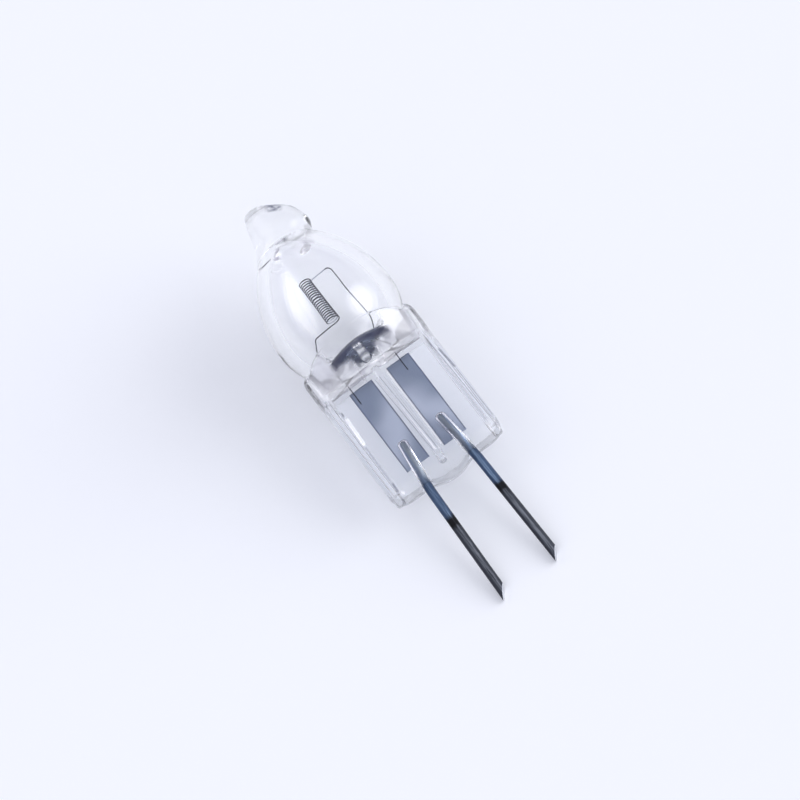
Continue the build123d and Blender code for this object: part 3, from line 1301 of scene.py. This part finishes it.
    def rings(self) -> list[Ring]:
        """Rings of the tube.

        Returns:
            The rings in order, from the middle of the foot's bottom up to the middle of the stub's tip.
        """
        cap = [Ring(0.0, 0.0, step / self.cap_rings) for step in range(self.cap_rings)]
        heights = [self.corner_round * (1 - cos(step / self.edge_rings * pi / 2)) for step in range(self.edge_rings)]
        top = self.tip - self.stub_end_round
        crease, bulb = self.foot_length - self.shoulder_margins[0], self.shoulder_top + self.shoulder_margins[1]
        neck, stub = self.root_height - self.root_margins[0], self.root_height + self.root_margins[1]
        levels = (self.corner_round, crease, bulb, neck, stub, top)
        for low, high, step in zip(levels, levels[1:], self.ring_steps):
            heights += self._spaced(low, high, step)
        body = [Ring(height, self.round_reach(height)) for height in heights]
        rim, bend = self.round_reach(top), self.stub_end_round
        turns = [step / self.end_rings * pi / 2 for step in range(self.end_rings + 1)]
        rounded = [Ring(top + bend * sin(turn), rim - bend * (1 - cos(turn))) for turn in turns]
        end = rounded[-1]
        shares = [1 - step / self.closing_rings for step in range(1, self.closing_rings + 1)]
        return cap + body + rounded + [Ring(end.height, end.reach, share) for share in shares]

    @staticmethod
    def _spaced(low: float, high: float, step: float) -> list[float]:
        """Evenly spaced heights from low up to, but without, high."""
        count = max(1, round((high - low) / step))
        return [low + (high - low) * number / count for number in range(count)]

    @staticmethod
    def slab_reach(direction: Vector, half_width: float, half_depth: float, corner: float) -> float:
        """Distance from the axis to the outline of a rounded slab.

        Args:
            direction: Unit vector across the axis.
            half_width: Half the slab's width.
            half_depth: Half its thickness.
            corner: Radius of its corners.

        Returns:
            The distance in that direction.
        """
        across, deep = abs(direction.x), abs(direction.y)
        if deep > 0 and across * half_depth / deep <= half_width - corner:
            return half_depth / deep
        if across > 0 and deep * half_width / across <= half_depth - corner:
            return half_width / across
        heart = Vector((half_width - corner, half_depth - corner))
        along = across * heart.x + deep * heart.y
        return along + sqrt(max(along**2 - heart.length_squared + corner**2, 0.0))

    @staticmethod
    def rounding(distance: float, radius: float) -> float:
        """Inset of a rounded edge.

        Args:
            distance: Distance from the end of the piece.
            radius: Radius of the rounding.

        Returns:
            The inset at that distance.
        """
        if distance >= radius:
            return 0.0
        return radius - sqrt(radius**2 - (radius - max(distance, 0.0)) ** 2)

    def foot_point(self, height: float, direction: Vector) -> Vector:
        """Point on the foot's outline, with its beads and its rib.

        Args:
            height: Height on the axis, below the ears' tops.
            direction: Unit vector across the axis.

        Returns:
            The point, across the axis.
        """
        below_top = self.ear_top - height
        side = self.rounding(height, self.corner_round) + self.rounding(below_top, self.ear_round)
        face = self.rounding(height, self.edge_round) + self.rounding(below_top, self.edge_round)
        half_width, half_depth = self.foot_width / 2 - side, self.foot_thickness / 2 - face
        point = direction * self.slab_reach(direction, half_width, half_depth, self.edge_round)
        level = abs(point.y)
        bead = self._taper(height, self.bead_ends, self.bead_taper)
        off = (abs(point.x) - self.bead_x) / self.bead_radius
        if bead > 0 and abs(off) < 1:
            crest = self.foot_thickness / 2 + self.bead_height * bead
            crest -= self.bead_radius * (1 - sqrt(1 - off * off))
            level = smooth_max(level, crest, self.bead_fillet)
        rib = self._taper(height, self.rib_ends, self.rib_half_width)
        off = point.x / self.rib_half_width
        if rib > 0 and abs(off) < 1:
            level += self.rib_height * rib * (1 - off**self.rib_flatness)
        return Vector((point.x, level if point.y > 0 else -level))

    @staticmethod
    def _taper(height: float, ends: tuple[float, float], length: float) -> float:
        """Share of a raised bar's height that is left near its rounded ends.

        Args:
            height: Height on the axis.
            ends: Heights of the bar's ends.
            length: Length over which each end is rounded.

        Returns:
            The share there, or 0 beyond the ends.
        """
        inside = min(height - ends[0], ends[1] - height)
        if inside <= 0:
            return 0.0
        share = min(inside / length, 1.0)
        return sqrt(1 - (1 - share) ** 2)

    def shoulder_reach(self, height: float, direction: Vector) -> float:
        """Distance from the axis to the shoulder, which swells from a straight line on the foot to the round bulb.

        Args:
            height: Height on the axis.
            direction: Unit vector across the axis.

        Returns:
            The distance in that direction, or 0 above and below the shoulder.
        """
        share = (height - self.shoulder_bottom) / (self.shoulder_top - self.shoulder_bottom)
        if not 0 <= share <= 1:
            return 0.0
        top = self.round_reach(self.shoulder_top)
        flat = self.foot_thickness / 2 - self.shoulder_sink
        half_width = self.shoulder_width / 2 + (top - self.shoulder_width / 2) * share
        half_depth = flat + (top - flat) * share**self.depth_power
        corner = self.shoulder_round + (top - self.shoulder_round) * share**self.corner_power
        return self.slab_reach(direction, half_width, half_depth, min(corner, half_width, half_depth))

    def outside(self, ring: Ring, column: int) -> Vector:
        """Point of the envelope's outside.

        Args:
            ring: The ring of the tube.
            column: Number of the column, counted round the axis.

        Returns:
            The point in the lamp's frame.
        """
        even = tau * column / len(self.columns)
        spread = ease(ring.height, self.foot_length - self.spread_start, self.widest)
        angle = self.columns[column] + (even - self.columns[column]) * spread
        direction = Vector((cos(angle), sin(angle)))
        across = direction * ring.reach
        if ring.height < self.ear_top:
            foot = self.foot_point(ring.height, direction)
            rounded = smooth_max(ring.reach, self.shoulder_reach(ring.height, direction), self.bulb_fillet)
            widening = (self.side_fillet - self.face_fillet) * ease(abs(foot.x), *self.side_places)
            across = foot * (smooth_max(foot.length, rounded, self.face_fillet + widening) / foot.length)
        across = across * ring.share
        point = Vector((across.x, across.y, ring.height))
        if ring.height < self.ear_top:
            self._shape_foot(point)
        if ring.height > self.root_height:
            self._melt(point)
        wave = noise.noise(point * self.wave_scale) * self.waviness
        return point + Vector((direction.x, direction.y, 0)) * wave * ring.share

    def _shape_foot(self, point: Vector) -> None:
        """Adds the tongue, the dimples round the pins and the lips on the ears.

        Args:
            point: A point of the foot, which is moved.
        """
        height = point.z
        arc_radius = (self.tongue_width**2 / 4 + self.tongue_drop**2) / (2 * self.tongue_drop)
        arc = sqrt(max(arc_radius**2 - point.x**2, 0.0)) - arc_radius + self.tongue_drop
        point.z -= smooth_max(arc, 0.0, self.tongue_fillet) * (1 - ease(height, 0.0, self.tongue_fade))
        away = hypot(abs(point.x) - self.mouth_x, point.y)
        if away < self.mouth_radius and height < self.mouth_depth:
            dome = self.mouth_depth - self.mouth_radius + sqrt(self.mouth_radius**2 - away**2)
            point.z = smooth_max(point.z, dome, self.mouth_fillet)
        lip = self.lips[Side.RIGHT if point.x > 0 else Side.LEFT]
        outer = ease(abs(point.x), *(self.foot_width / 2 - inset for inset in self.lip_insets))
        point.z += lip * outer * ease(height, self.ear_top - self.lip_rise, self.ear_top)

    def _melt(self, point: Vector) -> None:
        """Lets the stub sag as the flame left it, with a lean, an uneven rim and a flat facet.

        Args:
            point: A point of the stub, which is moved.
        """
        soft = ease(point.z, self.root_height + self.melt_start, self.tip)
        turn = atan2(point.y, point.x)
        swell = 1 + soft * sum(size * cos(number * turn + phase) for size, number, phase in self.lobes)
        bent = self.lean * ease(point.z, self.root_height, self.root_height + self.lean_length)
        point.x = point.x * swell + bent
        point.y *= swell
        point.z -= soft * self.sag * (point.x - self.sag_from)
        facet = Vector(self.facet_facing).normalized()
        seat = Vector(self.facet_place) + Vector((0, 0, self.tip))
        proud = (point - seat).dot(facet)
        point -= facet * smooth_max(proud, 0.0, self.facet_fillet)

    def outer_shell(self) -> bmesh.types.BMesh:
        """Shapes the envelope's outside from a plain tube.

        Returns:
            The closed outside.
        """
        shell = bmesh.new()
        rings = self.rings()
        blank = Tracer(shell, Vector((1, 0, 0)), Vector((0, 0, 1)))
        blank.run(Vector((1, 0, len(rings) - 1)), len(rings) - 1)
        line = [*shell.verts, *shell.edges]
        revolve(shell, line, len(self.columns))
        for vert in shell.verts:
            column = round(atan2(vert.co.y, vert.co.x) / tau * len(self.columns)) % len(self.columns)
            vert.co = self.outside(rings[round(vert.co.z)], column)
        bmesh.ops.remove_doubles(shell, verts=shell.verts, dist=WELD)
        return shell

    def cavity(self) -> bmesh.types.BMesh:
        """Spins the sealed cavity: dished floor, round basin, egg-shaped dome and the closed bore's end.

        Returns:
            The closed wall of the cavity.
        """
        shell = bmesh.new()
        basin_rise = self.widest - self.cavity_floor
        basin_inset = self.bulb_radius - self.wall - self.floor_radius
        basin = (basin_inset**2 + basin_rise**2) / (2 * basin_inset)
        dome = self.crown_radius - self.wall
        inset = self.crown_radius - self.bulb_radius + self.bore_radius
        bore_root = self.widest + sqrt(dome**2 - inset**2)
        bore_dome = (self.bore_radius**2 + self.bore_rise**2) / (2 * self.bore_rise)
        floor_steps, basin_steps, dome_steps, bore_steps = self.cavity_steps
        up, sideways = Vector((0, 0, 1)), Vector((0, -1, 0))
        line = Tracer(shell, Vector((0, 0, self.cavity_floor - self.floor_dish)), up)
        line.run(Vector((self.floor_radius, 0, self.cavity_floor)), floor_steps)
        basin_centre = Vector((self.bulb_radius - self.wall - basin, 0, self.widest))
        line.sweep(basin_centre, sideways, asin(basin_rise / basin), Vector(), basin_steps)
        dome_centre = Vector((self.bulb_radius - self.crown_radius, 0, self.widest))
        line.sweep(dome_centre, sideways, atan2(bore_root - self.widest, inset), Vector(), dome_steps)
        bore_centre = Vector((0, 0, bore_root + self.bore_rise - bore_dome))
        bore_turn = atan2(self.bore_radius, bore_dome - self.bore_rise)
        line.sweep(bore_centre, sideways, bore_turn, Vector(), bore_steps)
        revolve(shell, [*shell.verts, *shell.edges], self.cavity_columns)
        return shell

    def build(self, lamp: LampFrame, pins: Sequence[ContactPin], material: bpy.types.Material) -> bpy.types.Object:
        """Makes the envelope.

        Args:
            lamp: The lamp's frame.
            pins: The pins, round which the quartz leaves hollows.
            material: Its material.

        Returns:
            The envelope's object.
        """
        bm = bmesh.new()
        add_shell(bm, self.outer_shell(), hollow=False)
        add_shell(bm, self.cavity(), hollow=True)
        for pin in pins:
            add_shell(bm, pin.pocket(self.pocket_gap, self.pocket_mouth), hollow=True)
        return lamp.piece("quartz_body", bm, [material])


@dataclass(frozen=True)
class SoftBox:
    """Wide soft light, so far away that it lights the floor evenly.

    Attributes:
        azimuth: Direction that it comes from, in degrees from the front towards the right.
        elevation: Its height above the horizon, in degrees.
        core: Angle from its middle at which it begins to fade, in degrees.
        rim: Angle from its middle at which it has faded out, in degrees.
        strength: Its brightness.
    """

    azimuth: float
    elevation: float
    core: float
    rim: float
    strength: float

    def glow(self, bench: NodeBench, direction: Signal) -> Signal:
        """Brightness of the box in a direction.

        Args:
            bench: Bench of the surround.
            direction: The direction looked in.

        Returns:
            The brightness, 0 outside the box.
        """
        turn, rise = radians(self.azimuth), radians(self.elevation)
        middle = (sin(turn) * cos(rise), -cos(turn) * cos(rise), sin(rise))
        settings = {"operation": "DOT_PRODUCT"}
        facing = bench.node("ShaderNodeVectorMath", settings, {0: direction, 1: middle}, "Value")
        return facing.step(cos(radians(self.rim)), cos(radians(self.core))) * self.strength


@dataclass(frozen=True)
class CameraView:
    """The photograph's view of the lamp.

    Attributes:
        azimuth: Direction of the camera, in degrees from the front towards the right.
        elevation: Its height above the horizon, in degrees.
        roll: Turn of the picture, in degrees.
        distance: Distance from the point that it looks at, in millimetres.
        span: Width of the picture at that distance, in millimetres.
        aim: Height of that point on the lamp's axis.
        offset: Place of that point in the picture, right and up from its middle, in millimetres.
        clip: Nearest and farthest distance that it sees, in metres.
    """

    azimuth: float = -3.22
    elevation: float = 55.288
    roll: float = -33.747
    distance: float = 700.0
    span: float = 52.38
    aim: float = 6.3
    offset: tuple[float, float] = (-0.148, 0.052)
    clip: tuple[float, float] = (0.01, 20.0)

    def build(self, lamp: LampFrame) -> bpy.types.Object:
        """Makes the camera.

        Args:
            lamp: The lamp's frame.

        Returns:
            The camera's object, which the scene looks through.
        """
        camera = bpy.data.cameras.new("camera")
        camera.lens = camera.sensor_width * self.distance / self.span
        camera.clip_start, camera.clip_end = self.clip
        turn, rise, roll = (radians(angle) for angle in (self.azimuth, self.elevation, self.roll))
        back = Vector((sin(turn) * cos(rise), -cos(turn) * cos(rise), sin(rise)))
        level = Vector((cos(turn), sin(turn), 0))
        upright = back.cross(level)
        right = level * cos(roll) + upright * sin(roll)
        up = back.cross(right)
        aim = lamp.place @ Vector((0, 0, self.aim))
        centre = aim - (right * self.offset[0] + up * self.offset[1]) * MM
        viewer = bpy.data.objects.new("camera", camera)
        turned = Matrix((right, up, back)).transposed().to_4x4()
        viewer.matrix_world = Matrix.Translation(centre + back * self.distance * MM) @ turned
        bpy.context.scene.collection.objects.link(viewer)
        bpy.context.scene.camera = viewer
        return viewer


@dataclass
class Studio:
    """Pale floor, soft lamps and a plain surround.

    Attributes:
        floor_half: Half the floor's width, in metres.
        floor_colour: Colour of the floor.
        backdrop: Light of the plain backdrop.
        backdrop_share: Share of the backdrop in the floor where the quartz shows or mirrors it.
        open_share: Share of the backdrop in the floor where the camera sees it directly.
        boxes: The soft lamps.
        surround: Stops of the surround's colours, from straight below at 0 to straight above at 1.
    """

    floor_half: float = 3.0
    floor_colour: Colour = (0.925, 0.945, 0.98)
    backdrop: Colour = PALE_SKY
    backdrop_share: float = 0.45
    open_share: float = 0.2
    boxes: tuple[SoftBox, ...] = (
        SoftBox(azimuth=66, elevation=22, core=10, rim=36, strength=4.1),
        SoftBox(azimuth=-140, elevation=38, core=6, rim=30, strength=1.0),
    )
    surround: tuple[tuple[float, Colour], ...] = (
        (0.5, PALE_SKY),
        (0.515, PALE_SKY),
        (0.56, DIM_SKY),
        (0.74, DIM_SKY),
        (0.9, (0.68, 0.7, 0.77)),
        (1.0, (0.75, 0.77, 0.84)),
    )

    def floor(self) -> bpy.types.Object:
        """Makes the floor.

        Returns:
            The floor's object.
        """
        bm = bmesh.new()
        bmesh.ops.create_grid(bm, x_segments=1, y_segments=1, size=self.floor_half)
        mesh = bpy.data.meshes.new("floor")
        bm.to_mesh(mesh)
        bm.free()
        material, bench = new_bench("floor")
        seen = bench.node("ShaderNodeLightPath", output="Is Camera Ray") * self.open_share
        for ray in ("Is Glossy Ray", "Is Transmission Ray"):
            seen = seen.larger(bench.node("ShaderNodeLightPath", output=ray) * self.backdrop_share)
        glow = bench.node("ShaderNodeEmission", None, {"Color": self.backdrop})
        bench.end(bench.blend(seen, bench.diffuse(self.floor_colour), glow))
        mesh.materials.append(material)
        floor = bpy.data.objects.new("floor", mesh)
        bpy.context.scene.collection.objects.link(floor)
        return floor

    def world(self) -> bpy.types.World:
        """Makes the surround: pale at the horizon, darker above it and light overhead.

        Returns:
            The scene's world.
        """
        world = bpy.data.worlds.new("surround")
        world.use_nodes = True
        bench = NodeBench(world.node_tree)
        direction = bench.node("ShaderNodeTexCoord", output="Generated")
        colour = bench.ramp(bench.axes(direction)[2] * 0.5 + 0.5, self.surround)
        walls = bench.node("ShaderNodeBackground", None, {"Color": colour})
        glow = sum(box.glow(bench, direction) for box in self.boxes)
        white = bench.node("ShaderNodeBackground", None, {"Color": (1.0, 1.0, 1.0), "Strength": glow})
        light = bench.node("ShaderNodeAddShader", None, {0: walls, 1: white})
        bench.node("ShaderNodeOutputWorld", None, {"Surface": light})
        bpy.context.scene.world = world
        return world

    def build(self, lamp: LampFrame, view: CameraView) -> None:
        """Makes everything round the lamp, and the camera.

        Args:
            lamp: The lamp's frame.
            view: The camera's view.
        """
        self.floor()
        self.world()
        view.build(lamp)
        bpy.context.scene.view_settings.view_transform = "Standard"


def seat(piece: bpy.types.Object, node: str, slot: str) -> None:
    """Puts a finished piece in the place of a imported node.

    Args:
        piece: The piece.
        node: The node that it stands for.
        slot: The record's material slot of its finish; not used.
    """
    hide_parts(node)
    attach(piece, "root")
    LOG.info("%s: %d faces, in place of %s", piece.name, len(piece.data.polygons), node)


def main() -> None:
    """Builds the lamp and its studio."""
    logging.basicConfig(level=logging.INFO, format="%(message)s")
    record = frame["record"]
    pin_radius = record["mounts"][0]["dims"]["r_mm"]
    pins = [ContactPin(side, pin_radius) for side in Side]
    lamp = LampFrame.from_mounts(record["mounts"], pins[0].mount_depth)

    seat(QuartzEnvelope().build(lamp, pins, QuartzFinish().material(lamp)), "quartz_envelope", "quartz")
    wire, sheared = PinFinish().material(lamp), CutFinish().material(lamp)
    foils = [SealingFoil(side) for side in Side]
    foil_material = FoilFinish().material(lamp, foils[0].centre, foils[0].width / 2)
    for pin, foil in zip(pins, foils):
        side = pin.side.name.lower()
        seat(pin.build(lamp, [wire, sheared]), f"pin_{side}", "pin")
        seat(foil.build(lamp, foil_material), f"foil_{side}", "foil")
    seat(Filament().build(lamp, FilamentFinish().material(lamp)), "filament", "filament")
    Studio().build(lamp, CameraView())


if __name__ == "__main__":
    main()
